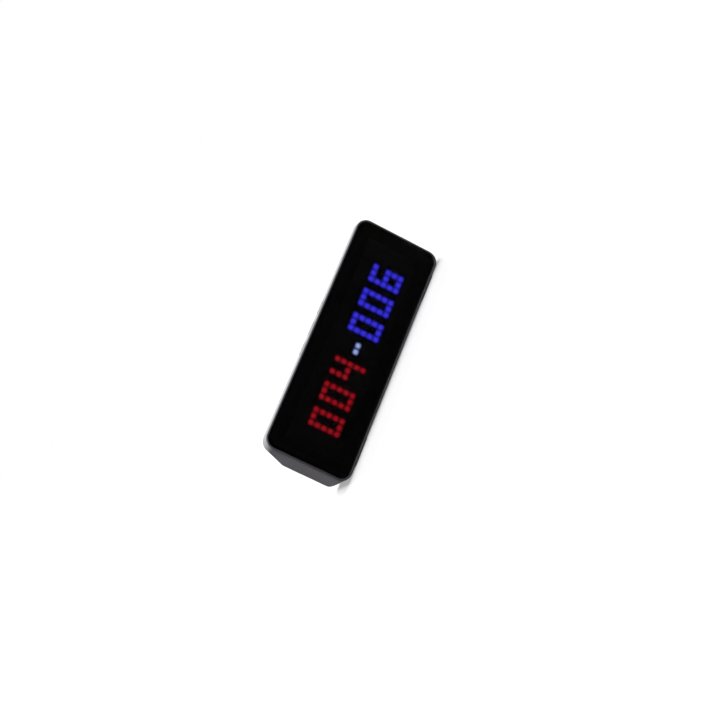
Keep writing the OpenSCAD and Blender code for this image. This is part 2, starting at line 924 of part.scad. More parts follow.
// The rear cover: a plate with a locating lip, posts for the main board and ends that hold the battery
module rear_cover() {
    lip_w = cover_w - 2 * cover_seat - 2 * cover_gap;
    lip_h = cover_h - 2 * cover_seat - 2 * cover_gap;
    lip_r = cover_r - cover_seat - cover_gap;
    color("silver")
        difference() {
            union() {
                layer(cover_d, body_d)
                    translate([0, back_mid])
                        round_rect(cover_w - 2 * cover_gap, cover_h - 2 * cover_gap, cover_r - cover_gap);
                layer(cover_d - cover_lip_h, cover_d)
                    translate([0, back_mid])
                        difference() {
                            round_rect(lip_w, lip_h, lip_r);
                            round_rect(lip_w - 2 * cover_lip_t, lip_h - 2 * cover_lip_t,
                                max(lip_r - cover_lip_t, min_r));
                            for (p = cover_places)
                                translate([p[0], p[1]])
                                    square(2 * (cover_screw_inset + cover_gap), center = true);
                        }
                for (p = main_places)
                    bar(p[0], back_mid + p[1], main_post_r, main_back_d, cover_d);
                for (x = [pack_left - tray_gap - tray_t, pack_right + tray_gap])
                    layer(cover_d - tray_h, cover_d)
                        translate([x, back_mid - tray_v])
                            square([tray_t, 2 * tray_v]);
            }
            for (p = cover_places)
                translate([p[0], front_y + body_d, back_mid + p[1]])
                    rotate([90, 0, 0]) {
                        cylinder(
                            h = cover_head_t + screw_gap,
                            r1 = cover_head_r + screw_gap,
                            r2 = screw_r + screw_gap);
                        cylinder(h = cover_t + over, r = screw_r + screw_gap);
                    }
            for (p = main_places)
                bar(p[0], back_mid + p[1], screw_r + bite_gap,
                    main_back_d - over, main_back_d + screw_grip + pilot_spare);
            layer(cover_d - over, body_d + over)
                translate([usb_x, back_mid])
                    pill(usb_w + 2 * usb_gap, usb_h + 2 * usb_gap);
            bar(power_x, back_mid, power_r + power_gap, cover_d - over, body_d + over);
            bar(buzzer_x, back_mid, sound_hole_r, cover_d - over, body_d + over);
            for (i = [0:sound_holes - 1]) {
                turn = i * 360 / sound_holes;
                bar(buzzer_x + sound_ring_r * cos(turn), back_mid + sound_ring_r * sin(turn), sound_hole_r,
                    cover_d - over, body_d + over);
            }
            layer(cover_d - over, body_d + over)
                for (i = [0:vents - 1])
                    translate([climate_x + (i - (vents - 1) / 2) * vent_step, back_mid])
                        rotate(90)
                            pill(vent_l, vent_w);
        }
}

// Countersunk screws that lie flush with the rear cover
module cover_screws() {
    color("lightgray")
        for (p = cover_places)
            difference() {
                translate([p[0], front_y + body_d, back_mid + p[1]])
                    rotate([90, 0, 0]) {
                        cylinder(h = cover_head_t, r1 = cover_head_r, r2 = screw_r);
                        cylinder(h = cover_t + cover_screw_l - pilot_spare, r = screw_r);
                    }
                layer(body_d - cross_t, body_d + over)
                    translate([p[0], back_mid + p[1]])
                        driver_cross(cross_share * cover_head_r);
            }
}

module power_key() {
    color("silver") {
        bar(power_x, back_mid, power_r, power_flange_d - power_flange_t / 2, body_d - power_sink);
        bar(power_x, back_mid, power_r + power_flange, power_flange_d - power_flange_t, power_flange_d);
    }
}

module power_plunger() {
    color("black")
        bar(power_x, back_mid, power_plunger_r, power_switch_d - power_plunger_sunk, power_plunger_d);
}

module power_switch() {
    sunk = power_plunger_sunk + power_travel + plunger_floor;
    color("dimgray")
        difference() {
            layer(main_back_d, power_switch_d)
                translate([power_x, back_mid])
                    square(power_switch_size, center = true);
            bar(power_x, back_mid, power_plunger_r + plunger_gap,
                power_switch_d - sunk, power_switch_d + over);
        }
}

module main_board() {
    color("darkgreen")
        layer(main_d, main_back_d)
            difference() {
                translate([main_x, back_mid])
                    round_rect(main_w, main_h, main_corner_r);
                for (p = main_places)
                    translate([p[0], back_mid + p[1]])
                        circle(screw_r + screw_gap);
            }
}

module main_board_screws() {
    color("lightgray")
        for (p = main_places)
            pan_screw(p[0], back_mid + p[1], main_d, board_t + screw_grip);
}

// The metal mouth of the charging socket, closed at the board
module usb_shell() {
    color("lightgray")
        difference() {
            layer(main_back_d, main_back_d + usb_l)
                translate([usb_x, back_mid])
                    pill(usb_w, usb_h);
            layer(main_back_d + usb_floor, body_d + over)
                translate([usb_x, back_mid])
                    pill(usb_w - 2 * usb_t, usb_h - 2 * usb_t);
        }
}

module usb_tongue() {
    color("black")
        layer(main_back_d + usb_floor, main_back_d + usb_l - tongue_short)
            translate([usb_x, back_mid])
                square([tongue_w, tongue_t], center = true);
}

module radio_board() {
    color("darkblue")
        layer(main_d - radio_board_t, main_d)
            translate([radio_x, back_mid])
                square([radio_w, radio_h], center = true);
}

// The metal can over the radio, which leaves the aerial's end of its board bare
module radio_shield() {
    color("lightgray")
        layer(main_d - radio_board_t - radio_shield_t, main_d - radio_board_t)
            translate([radio_x, back_mid - radio_antenna / 2])
                round_rect(radio_w - 2 * radio_rim, radio_h - radio_antenna - 2 * radio_rim, radio_rim);
}

// The charger, clock and serial chips, one above another on the front of the main board
module logic_chips() {
    color("black")
        for (i = [-1:1]) {
            chip = i == 0 ? small_chip : large_chip;
            layer(main_d - chip[2], main_d)
                translate([chip_x, back_mid + i * chip_step])
                    square([chip[0], chip[1]], center = true);
        }
}

module power_coil() {
    color("dimgray")
        layer(main_d - coil_t, main_d)
            translate([chip_x + coil_shift, back_mid - chip_step])
                round_rect(coil_size, coil_size, coil_r);
}

module buzzer() {
    color("black")
        difference() {
            bar(buzzer_x, back_mid, buzzer_r, main_back_d, main_back_d + buzzer_h);
            bar(buzzer_x, back_mid, buzzer_hole_r, main_back_d + buzzer_h / 2, body_d);
        }
}

module climate_sensor() {
    color("gainsboro")
        layer(main_back_d, main_back_d + climate_size[2])
            translate([climate_x, back_mid])
                square([climate_size[0], climate_size[1]], center = true);
}

// Two round cells, one above the other, that lie along the case
module battery_cells() {
    color("steelblue")
        for (v = [-1, 1])
            translate([pack_left + sleeve_end, front_y + pack_d, back_mid + v * cell_step / 2])
                rotate([0, 90, 0]) {
                    cylinder(h = cell_l, r = cell_r);
                    translate([0, 0, -cell_button_t])
                        cylinder(h = cell_l, r = cell_button_r);
                }
}

// The shrunk sleeve that binds the two cells into one pack
module battery_sleeve() {
    color("royalblue")
        profile(pack_left, pack_right)
            translate([pack_d, back_mid])
                rotate(90)
                    difference() {
                        pill(cell_step + 2 * sleeve_r, 2 * sleeve_r);
                        pill(cell_step + 2 * sleeve_r - 2 * sleeve_t, 2 * sleeve_r - 2 * sleeve_t);
                    }
}

// Foam pads between the battery's flat side and the rear cover
module battery_pads() {
    color("dimgray")
        for (v = [-1, 1])
            layer(cover_d - pad_t, cover_d)
                translate([(pack_left + pack_right) / 2, back_mid + v * cell_step / 4])
                    square([pad_l, pad_h], center = true);
}

// A quarter bend of a lead, from +X towards -Z
module lead_quarter() {
    rotate([90, 0, 0])
        rotate_extrude(angle = 90)
            translate([lead_bend, 0])
                circle(lead_d / 2);
}

// A battery lead: level out of the pack, down in two bends and level into the plug
module battery_lead(depth) {
    high = back_mid + lead_v;
    low = back_mid + socket_v;
    translate([0, front_y + depth, 0]) {
        translate([lead_start, 0, high])
            rotate([0, 90, 0])
                cylinder(h = lead_mid - lead_bend - lead_start, r = lead_d / 2);
        translate([lead_mid - lead_bend, 0, high - lead_bend])
            lead_quarter();
        translate([lead_mid, 0, low + lead_bend])
            cylinder(h = high - low - 2 * lead_bend, r = lead_d / 2);
        translate([lead_mid + lead_bend, 0, low + lead_bend])
            rotate([0, 180, 0])
                lead_quarter();
        translate([lead_mid + lead_bend, 0, low])
            rotate([0, 90, 0])
                cylinder(h = plug_x - lead_mid - lead_bend, r = lead_d / 2);
    }
}

module battery_lead_red() {
    color("red")
        battery_lead(lead_d0 - lead_step / 2);
}

module battery_lead_black() {
    color("black")
        battery_lead(lead_d0 + lead_step / 2);
}

// The plug on the battery leads, pushed into the open end of its socket
module battery_plug() {
    wall_in = socket_wall + plug_gap;
    color("white")
        layer(main_d - socket_size[2] + wall_in, main_d - wall_in)
            translate([plug_x, back_mid + socket_v - socket_size[1] / 2 + wall_in])
                square([plug_show + plug_sunk, socket_size[1] - 2 * wall_in]);
}

module battery_socket() {
    low = back_mid + socket_v - socket_size[1] / 2;
    color("ivory")
        difference() {
            layer(main_d - socket_size[2], main_d)
                translate([socket_x, low])
                    square([socket_size[0], socket_size[1]]);
            layer(main_d - socket_size[2] + socket_wall, main_d - socket_wall)
                translate([socket_x - over, low + socket_wall])
                    square([plug_sunk + over, socket_size[1] - 2 * socket_wall]);
        }
}

module rubber_feet() {
    color("dimgray")
        for (p = foot_places)
            plan(0, foot_h + foot_sink)
                translate(p)
                    pill(foot_l, foot_w);
}

housing();
front_lens();
lens_tape();
diffuser_film();
pixel_grid();
display_board();
pixel_lamps();
light_sensor();
display_screws();
display_sockets();
display_ribbon();
key_left();
key_select();
key_right();
key_left_plunger();
key_select_plunger();
key_right_plunger();
key_switches();
key_board();
key_board_screws();
key_sockets();
key_ribbon();
rear_cover();
cover_screws();
power_key();
power_plunger();
power_switch();
main_board();
main_board_screws();
usb_shell();
usb_tongue();
radio_board();
radio_shield();
logic_chips();
power_coil();
buzzer();
climate_sensor();
battery_cells();
battery_sleeve();
battery_pads();
battery_lead_red();
battery_lead_black();
battery_plug();
battery_socket();
rubber_feet();
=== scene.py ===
"""Looks of the smart pixel clock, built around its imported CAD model."""
import json
import math

import bpy
import numpy as np
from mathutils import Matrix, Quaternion, Vector


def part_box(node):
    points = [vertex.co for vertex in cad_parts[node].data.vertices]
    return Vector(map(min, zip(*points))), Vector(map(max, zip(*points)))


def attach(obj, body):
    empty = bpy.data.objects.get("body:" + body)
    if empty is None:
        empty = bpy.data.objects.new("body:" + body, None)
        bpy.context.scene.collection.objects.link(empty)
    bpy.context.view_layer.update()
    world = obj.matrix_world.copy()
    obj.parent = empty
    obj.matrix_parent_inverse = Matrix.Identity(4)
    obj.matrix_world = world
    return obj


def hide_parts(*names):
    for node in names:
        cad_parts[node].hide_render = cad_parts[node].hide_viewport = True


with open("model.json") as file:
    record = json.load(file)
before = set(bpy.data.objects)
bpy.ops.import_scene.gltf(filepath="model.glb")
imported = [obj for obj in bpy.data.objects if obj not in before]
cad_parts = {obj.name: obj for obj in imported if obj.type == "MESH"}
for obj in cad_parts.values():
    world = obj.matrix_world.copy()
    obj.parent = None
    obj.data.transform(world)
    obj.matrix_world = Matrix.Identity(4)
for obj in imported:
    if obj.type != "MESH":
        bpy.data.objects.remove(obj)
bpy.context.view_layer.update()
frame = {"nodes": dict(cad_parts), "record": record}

bl_info = {
    "name": "Smart pixel clock",
    "version": (1, 0, 0),
    "blender": (4, 5, 0),
    "location": "3D View > Sidebar > Clock",
    "description": "Builds the visible pieces, materials and studio of a smart pixel clock",
    "category": "Object",
}

MM = 0.001
# Tones of lit neighbours add up as the eye sees them, and this power turns them into light
EYE_POWER = 2.2
CASE_LOW, CASE_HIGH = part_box("housing")
LENS_LOW, LENS_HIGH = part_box("front_lens")
FILM_LOW, FILM_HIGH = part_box("diffuser_film")
FRONT_Y, BACK_Y = CASE_LOW.y, CASE_HIGH.y

X, Y, Z = range(3)
UPRIGHT = (math.pi / 2, 0, 0)
WHITE = (1, 1, 1, 1)
GREY = (0.5, 0.5, 0.5, 1)

# How meshes are cleaned, rounded and shaded, and which of their edges count as level or sharp
LEVEL_SLACK = 0.02 * MM
CAD_MERGE = 0.001 * MM
FLAT_ANGLE = math.radians(0.5)
SHARP_ANGLE = math.radians(40)
SMOOTH_ANGLE = math.radians(35)
ROUND_PROFILE = 0.5
FULL_WEIGHT = 100

# Moulded grain: broad clouds and fine pits, the share of each, and the pits' depth in grain sizes
NOISE_MIDDLE = 0.5
CLOUD_DETAIL, PIT_DETAIL = 4, 3
CLOUD_SHARE, PIT_SHARE = 0.65, 0.35
GRAIN_DEPTH = 0.2

# Metal streaks: how they stretch along one axis, and their depth
STREAK_SCALE = (300, 6000, 6000)
STREAK_DETAIL = 4
STREAK_DEPTH = 0.02 * MM

# A wave texture turns by this many radians in a metre at scale 1
WAVE_RATE = 20
# Board traces: where a wave becomes a trace, and which patches have upright or level ones
TRACE_LIMIT = 0.6
TRACE_DEPTH = 0.03 * MM
PATCH_DETAIL = 1
PATCH_SPREAD = 0.2
UPRIGHT_PATCH, LEVEL_PATCH = 0.55, 0.48

# Digits as rows of three pixels, top row first
GLYPHS = {
    "0": ("111", "101", "101", "101", "111"),
    "1": ("010", "110", "010", "010", "111"),
    "2": ("111", "001", "111", "100", "111"),
    "3": ("111", "001", "111", "001", "111"),
    "4": ("101", "101", "111", "001", "001"),
    "5": ("111", "100", "111", "001", "111"),
    "6": ("111", "100", "111", "101", "111"),
    "7": ("111", "001", "001", "001", "001"),
    "8": ("111", "101", "111", "101", "111"),
    "9": ("111", "101", "111", "001", "111"),
}


# Settings that a user would change


class CaseSettings(bpy.types.PropertyGroup):
    """Finish and edges of the case, and the colour of the keys."""

    colour: bpy.props.FloatVectorProperty(
        name="Case colour",
        description="Silver grey of the moulded case",
        subtype="COLOR",
        size=3,
        min=0,
        max=1,
        default=(0.442, 0.434, 0.452),
    )
    key_colour: bpy.props.FloatVectorProperty(
        name="Key colour",
        description="Silver grey of the keys",
        subtype="COLOR",
        size=3,
        min=0,
        max=1,
        default=(0.4, 0.392, 0.408),
    )
    grain: bpy.props.FloatProperty(
        name="Grain size",
        description="Spacing of the fine moulded grain",
        unit="LENGTH",
        default=0.3 * MM,
        min=0.05 * MM,
        max=2 * MM,
    )
    rim_edge: bpy.props.FloatProperty(
        name="Rim edge",
        description="Rounding of the rim's inner edge round the lens",
        unit="LENGTH",
        default=0.08 * MM,
        min=0.05 * MM,
        max=0.3 * MM,
    )
    edge: bpy.props.FloatProperty(
        name="Edge rounding",
        description="Rounding of the small edges round slots and openings",
        unit="LENGTH",
        default=0.22 * MM,
        min=0.05 * MM,
        max=0.3 * MM,
    )


class DisplaySettings(bpy.types.PropertyGroup):
    """What the pixels show, and the lens in front of them."""

    columns: bpy.props.IntProperty(
        name="Columns", description="Pixels along the display", default=32, min=24, max=40
    )
    rows: bpy.props.IntProperty(
        name="Rows", description="Pixels up the display", default=8, min=7, max=12
    )
    pitch: bpy.props.FloatProperty(
        name="Pixel spacing",
        description="Distance from one pixel to the next",
        unit="LENGTH",
        default=5.45 * MM,
        min=3 * MM,
        max=8 * MM,
    )
    left_number: bpy.props.StringProperty(
        name="Left number", description="Digits on the left", default="004"
    )
    right_number: bpy.props.StringProperty(
        name="Right number", description="Digits on the right", default="006"
    )
    left_colour: bpy.props.FloatVectorProperty(
        name="Left colour",
        description="Light of the left number",
        subtype="COLOR",
        size=3,
        min=0,
        max=1,
        default=(0.304, 0.0043, 0.0105),
    )
    dash_colour: bpy.props.FloatVectorProperty(
        name="Dash colour",
        description="Light of the dash between the numbers",
        subtype="COLOR",
        size=3,
        min=0,
        max=1,
        default=(0.3, 0.373, 0.765),
    )
    right_colour: bpy.props.FloatVectorProperty(
        name="Right colour",
        description="Light of the right number",
        subtype="COLOR",
        size=3,
        min=0,
        max=1,
        default=(0.032, 0.026, 0.68),
    )
    brightness: bpy.props.FloatProperty(
        name="Brightness", description="Strength of the pixels' light", default=3.62, min=0, max=20
    )
    softness: bpy.props.FloatProperty(
        name="Softness",
        description="How soft the film makes a pixel's edge, in pixels",
        default=0.08,
        min=0.01,
        max=0.5,
    )
    smoke: bpy.props.FloatProperty(
        name="Smoke",
        description="How much light each face of the smoked lens holds back",
        subtype="FACTOR",
        default=0.45,
        min=0,
        max=0.95,
    )


class StageSettings(bpy.types.PropertyGroup):
    """Studio round the clock."""

    floor_colour: bpy.props.FloatVectorProperty(
        name="Floor colour",
        description="Colour of the floor that takes the light and the shadow",
        subtype="COLOR",
        size=3,
        min=0,
        max=1,
        default=(0.62, 0.62, 0.62),
    )
    floor_white: bpy.props.FloatProperty(
        name="Floor white",
        description="White that the floor shows besides its own colour",
        subtype="FACTOR",
        default=0.38,
        min=0,
        max=1,
    )
    floor_bounce: bpy.props.FloatVectorProperty(
        name="Floor bounce",
        description="Colour of the light that the floor sends back to the clock",
        subtype="COLOR",
        size=3,
        min=0,
        max=1,
        default=(0.046, 0.04, 0.056),
    )
    sky_fill: bpy.props.FloatProperty(
        name="Sky fill",
        description="Strength of the even light from all round",
        default=0.042,
        min=0,
        max=2,
    )
    key_light: bpy.props.FloatProperty(
        name="Key light",
        description="Strength of the soft light from above",
        default=2.95,
        min=0,
        max=20,
    )
    back_light: bpy.props.FloatProperty(
        name="Back light",
        description="Strength of the soft light from behind",
        default=1.5,
        min=0,
        max=20,
    )
    key_place: bpy.props.FloatVectorProperty(
        name="Key place",
        description="Direction that the light from above comes from",
        subtype="DIRECTION",
        size=3,
        default=(0.04, 0, 1),
    )
    back_place: bpy.props.FloatVectorProperty(
        name="Back place",
        description="Direction that the light from behind comes from",
        subtype="DIRECTION",
        size=3,
        default=(0.12, 0.67, 0.73),
    )
    key_spread: bpy.props.FloatProperty(
        name="Key spread",
        description="How wide the light from above is",
        subtype="ANGLE",
        default=math.radians(26),
        min=0,
        max=math.pi,
    )
    back_spread: bpy.props.FloatProperty(
        name="Back spread",
        description="How wide the light from behind is",
        subtype="ANGLE",
        default=math.radians(30),
        min=0,
        max=math.pi,
    )
    camera_place: bpy.props.FloatVectorProperty(
        name="Camera place",
        description="Where the camera stands",
        subtype="TRANSLATION",
        size=3,
        default=(-0.33741, -0.92746, 0.21277),
    )
    camera_aim: bpy.props.FloatVectorProperty(
        name="Camera aim",
        description="Point in the middle of the picture",
        subtype="TRANSLATION",
        size=3,
        default=(-0.00376, -0.005, 0.02626),
    )
    camera_roll: bpy.props.FloatProperty(
        name="Camera roll",
        description="Turn of the camera about its line of sight",
        subtype="ANGLE",
        default=math.radians(-63.694),
    )
    camera_lens: bpy.props.FloatProperty(
        name="Camera lens", description="Focal length in millimetres", default=65, min=10, max=300
    )


# Mesh helpers


def only(piece):
    """Makes this piece the one selected and active object."""
    bpy.ops.object.select_all(action="DESELECT")
    piece.select_set(True)
    bpy.context.view_layer.objects.active = piece


def new_piece(name):
    """Names the object that an add operator has just made."""
    piece = bpy.context.object
    piece.name = name
    piece.data.name = name
    return piece


def start_piece(name, scale, add=bpy.ops.mesh.primitive_plane_add, **place):
    """Adds a primitive at its place and size, and opens it in edit mode with all of it selected."""
    bpy.ops.object.select_all(action="DESELECT")
    add(size=1, **place)
    piece = new_piece(name)
    piece.scale = scale
    bpy.ops.object.transform_apply(location=True, rotation=True, scale=True)
    bpy.ops.object.mode_set(mode="EDIT")
    bpy.ops.mesh.select_all(action="SELECT")
    return piece


def extrude(*way):
    """In edit mode, extrudes the selected faces along a way."""
    bpy.ops.mesh.extrude_region_move(TRANSFORM_OT_translate={"value": way})


def close_shape():
    """Turns all faces of the piece in edit mode outwards, and leaves edit mode."""
    bpy.ops.mesh.select_all(action="SELECT")
    bpy.ops.mesh.normals_make_consistent(inside=False)
    bpy.ops.object.mode_set(mode="OBJECT")


def settle(piece, body, slot, *nodes):
    """Applies a piece's place, lets it ride on its body and stand for its CAD nodes."""
    only(piece)
    bpy.ops.object.transform_apply(location=True, rotation=True, scale=True)
    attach(piece, body)
    if nodes:
        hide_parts(*nodes)


def smooth(piece):
    """Smooth shading where faces meet at a small angle."""
    only(piece)
    bpy.ops.object.shade_smooth_by_angle(angle=SMOOTH_ANGLE)


def even_normals(piece):
    """Lets large flat faces keep flat shading next to the rounded edges round them."""
    only(piece)
    modifier = piece.modifiers.new("Even normals", "WEIGHTED_NORMAL")
    modifier.mode = "FACE_AREA"
    modifier.weight = FULL_WEIGHT
    modifier.keep_sharp = True
    bpy.ops.object.modifier_apply(modifier=modifier.name)


def pick_edges(piece, levels, sharp_only=False):
    """In edit mode, selects the edges in one of these levels, or only the sharp ones of them."""
    bpy.ops.mesh.select_mode(type="EDGE")
    bpy.ops.mesh.select_all(action="DESELECT")
    if sharp_only:
        bpy.ops.mesh.edges_select_sharp(sharpness=SHARP_ANGLE)
    bpy.ops.object.mode_set(mode="OBJECT")
    points = [v.co for v in piece.data.vertices]
    found = 0
    for edge in piece.data.edges:
        ends = [points[i] for i in edge.vertices]
        level = any(
            all(abs(end[axis] - place) < LEVEL_SLACK for end in ends) for axis, place in levels
        )
        edge.select = level and (edge.select or not sharp_only)
        found += edge.select
    if not found:
        raise RuntimeError(f"no edge of {piece.name} lies in its levels")
    bpy.ops.object.mode_set(mode="EDIT")


def refined_copy(part, name, rounds, segments=3):
    """Copies a CAD node as one closed mesh and rounds its sharp edges in each list of levels."""
    mesh = frame["nodes"][part].data.copy()
    piece = bpy.data.objects.new(name, mesh)
    mesh.name = name
    bpy.context.scene.collection.objects.link(piece)
    only(piece)
    bpy.ops.mesh.customdata_custom_splitnormals_clear()
    bpy.ops.object.mode_set(mode="EDIT")
    bpy.ops.mesh.select_all(action="SELECT")
    bpy.ops.mesh.remove_doubles(threshold=CAD_MERGE)
    bpy.ops.mesh.dissolve_limited(angle_limit=FLAT_ANGLE)
    for levels, width in rounds:
        pick_edges(piece, levels, sharp_only=True)
        bpy.ops.mesh.bevel(
            offset_type="OFFSET",
            offset=width,
            segments=segments,
            profile=ROUND_PROFILE,
            affect="EDGES",
            clamp_overlap=False,
        )
    bpy.ops.object.mode_set(mode="OBJECT")
    smooth(piece)
    even_normals(piece)
    return piece


def dress(piece, *materials):
    """Gives a piece these materials and no others."""
    piece.data.materials.clear()
    for material in materials:
        piece.data.materials.append(material)


def rounded_part(part, name, body, slot, rounds, segments=3):
    """A rounded copy of a CAD node, dressed in its slot's finish and settled on its body."""
    piece = refined_copy(part, name, rounds, segments)
    dress(piece, finish_of(slot))
    settle(piece, body, slot, part)


# Material helpers


def node(tree, kind, **values):
    """Adds a node with these values on its own settings."""
    made = tree.nodes.new(kind)
    for key, value in values.items():
        setattr(made, key, value)
    return made


def math_node(tree, operation, a, b):
    """A Math node on two links or plain numbers."""
    made = node(tree, "ShaderNodeMath", operation=operation)
    for socket, value in zip(made.inputs, (a, b)):
        if isinstance(value, (int, float)):
            socket.default_value = value
        else:
            tree.links.new(value, socket)
    return made.outputs[0]


def effect_group(name, inputs):
    """A new node group with these inputs and a finish's outputs: its tree, ends and place."""
    tree = bpy.data.node_groups.new(name, "ShaderNodeTree")
    for title, value in inputs.items():
        kind = "NodeSocketColor" if isinstance(value, tuple) else "NodeSocketFloat"
        socket = tree.interface.new_socket(name=title, in_out="INPUT", socket_type=kind)
        socket.default_value = value
    for title in ("Colour", "Roughness", "Height"):
        kind = "NodeSocketColor" if title == "Colour" else "NodeSocketFloat"
        tree.interface.new_socket(name=title, in_out="OUTPUT", socket_type=kind)
    given = node(tree, "NodeGroupInput")
    result = node(tree, "NodeGroupOutput")
    return tree, given, result, node(tree, "ShaderNodeTexCoord").outputs["Object"]


def texture_at(tree, place, scale, kind, **values):
    """A texture on a place link, with its scale from another link."""
    made = node(tree, kind, **values)
    tree.links.new(place, made.inputs["Vector"])
    tree.links.new(scale, made.inputs["Scale"])
    return made


def vary(tree, given, result, swing):
    """Lets a swing round zero change a group's colour and roughness, by its Shade and Spread."""
    lift = math_node(tree, "ADD", math_node(tree, "MULTIPLY", swing, given.outputs["Shade"]), 1.0)
    tint = node(tree, "ShaderNodeVectorMath", operation="SCALE")
    tree.links.new(given.outputs["Colour"], tint.inputs[0])
    tree.links.new(lift, tint.inputs["Scale"])
    tree.links.new(tint.outputs[0], result.inputs["Colour"])
    rough = math_node(tree, "MULTIPLY", swing, given.outputs["Spread"])
    roughness = math_node(tree, "ADD", given.outputs["Roughness"], rough)
    tree.links.new(roughness, result.inputs["Roughness"])


def grain_group():
    """Moulded grain: broad clouds and fine pits, in colour, roughness and height."""
    name = "Moulded grain"
    if name in bpy.data.node_groups:
        return bpy.data.node_groups[name]
    scales = {"Fine scale": 4000, "Broad scale": 30}
    inputs = {"Colour": GREY, "Shade": 0.1, **scales, "Roughness": 0.5, "Spread": 0.1}
    tree, given, result, place = effect_group(name, inputs)
    fine, broad = (
        texture_at(tree, place, given.outputs[scale], "ShaderNodeTexNoise") for scale in scales
    )
    fine.inputs["Detail"].default_value = PIT_DETAIL
    broad.inputs["Detail"].default_value = CLOUD_DETAIL
    clouds = math_node(tree, "MULTIPLY", broad.outputs[0], CLOUD_SHARE)
    pits = math_node(tree, "MULTIPLY", fine.outputs[0], PIT_SHARE)
    swing = math_node(tree, "SUBTRACT", math_node(tree, "ADD", clouds, pits), NOISE_MIDDLE)
    vary(tree, given, result, swing)
    tree.links.new(fine.outputs[0], result.inputs["Height"])
    return tree


def streak_group():
    """Rolled or plated metal: fine streaks along one axis in colour, roughness and height."""
    name = "Metal streaks"
    if name in bpy.data.node_groups:
        return bpy.data.node_groups[name]
    inputs = {"Colour": GREY, "Shade": 0.3, "Roughness": 0.3, "Spread": 0.2}
    tree, given, result, place = effect_group(name, inputs)
    stretch = node(tree, "ShaderNodeMapping")
    stretch.inputs["Scale"].default_value = STREAK_SCALE
    streaks = node(tree, "ShaderNodeTexNoise")
    streaks.inputs["Scale"].default_value = 1
    streaks.inputs["Detail"].default_value = STREAK_DETAIL
    tree.links.new(place, stretch.inputs["Vector"])
    tree.links.new(stretch.outputs[0], streaks.inputs["Vector"])
    vary(tree, given, result, math_node(tree, "SUBTRACT", streaks.outputs[0], NOISE_MIDDLE))
    tree.links.new(streaks.outputs[0], result.inputs["Height"])
    return tree


def board_group():
    """Lacquered circuit board: patches of parallel traces, in colour, roughness and height."""
    name = "Board traces"
    if name in bpy.data.node_groups:
        return bpy.data.node_groups[name]
    scales = {"Trace scale": 400, "Patch scale": 90}
    inputs = {"Colour": GREY, "Trace colour": GREY, **scales, "Roughness": 0.35}
    tree, given, result, place = effect_group(name, inputs)
    patches = texture_at(tree, place, given.outputs["Patch scale"], "ShaderNodeTexNoise")
    patches.inputs["Detail"].default_value = PATCH_DETAIL
    traces = []
    scale = given.outputs["Trace scale"]
    for axis, side, limit in (
        ("X", "GREATER_THAN", UPRIGHT_PATCH),
        ("Z", "LESS_THAN", LEVEL_PATCH),
    ):
        lines = texture_at(tree, place, scale, "ShaderNodeTexWave", bands_direction=axis)
        line = math_node(tree, "GREATER_THAN", lines.outputs["Fac"], TRACE_LIMIT)
        patch = math_node(tree, side, patches.outputs[0], limit)
        traces.append(math_node(tree, "MULTIPLY", line, patch))
    trace = math_node(tree, "ADD", *traces)
    tint = node(tree, "ShaderNodeMix", data_type="RGBA")
    tree.links.new(trace, tint.inputs["Factor"])
    tree.links.new(given.outputs["Colour"], tint.inputs["A"])
    tree.links.new(given.outputs["Trace colour"], tint.inputs["B"])
    tree.links.new(tint.outputs["Result"], result.inputs["Colour"])
    swing = math_node(tree, "SUBTRACT", patches.outputs[0], NOISE_MIDDLE)
    rough = math_node(tree, "MULTIPLY", swing, PATCH_SPREAD)
    roughness = math_node(tree, "ADD", given.outputs["Roughness"], rough)
    tree.links.new(roughness, result.inputs["Roughness"])
    tree.links.new(trace, result.inputs["Height"])
    return tree


def shader_of(name):
    """A new node material, its tree and its Principled shader."""
    material = bpy.data.materials.new(name)
    material.use_nodes = True
    return material, material.node_tree, material.node_tree.nodes["Principled BSDF"]


def surface(name, group, bump, depth, **values):
    """A material whose colour, roughness and height come from an effect group with these values."""
    material, tree, shader = shader_of(name)
    effect = node(tree, "ShaderNodeGroup", node_tree=group)
    for key, value in values.items():
        effect.inputs[key.replace("_", " ").capitalize()].default_value = value
    tree.links.new(effect.outputs["Colour"], shader.inputs["Base Color"])
    tree.links.new(effect.outputs["Roughness"], shader.inputs["Roughness"])
    if bump:
        relief = node(tree, "ShaderNodeBump")
        relief.inputs["Strength"].default_value = bump
        relief.inputs["Distance"].default_value = depth
        tree.links.new(effect.outputs["Height"], relief.inputs["Height"])
        tree.links.new(relief.outputs["Normal"], shader.inputs["Normal"])
    return material, shader


def moulded(name, colour, grain, roughness, spread, shade, bump, shine=0.5):
    """A moulded or lacquered surface with the shared grain."""
    looks = {"colour": (*colour, 1), "roughness": roughness, "spread": spread, "shade": shade}
    looks["fine_scale"] = 1 / grain
    material, shader = surface(name, grain_group(), bump, GRAIN_DEPTH * grain, **looks)
    shader.inputs["Specular IOR Level"].default_value = shine
    return material


def metal(name, colour, roughness, spread=0.2, shade=0.25, bump=0.1):
    """A plated or rolled metal with the shared streaks."""
    looks = {"colour": (*colour, 1), "roughness": roughness, "spread": spread, "shade": shade}
    material, shader = surface(name, streak_group(), bump, STREAK_DEPTH, **looks)
    shader.inputs["Metallic"].default_value = 1.0
    return material


def board(name, colour, trace_colour, roughness, spacing=0.8 * MM, bump=0.3, coat=0.3):
    """A lacquered circuit board with the shared traces."""
    looks = {"colour": (*colour, 1), "trace_colour": (*trace_colour, 1), "roughness": roughness}
    looks["trace_scale"] = 2 * math.pi / (WAVE_RATE * spacing)
    material, shader = surface(name, board_group(), bump, TRACE_DEPTH, **looks)
    shader.inputs["Coat Weight"].default_value = coat
    return material


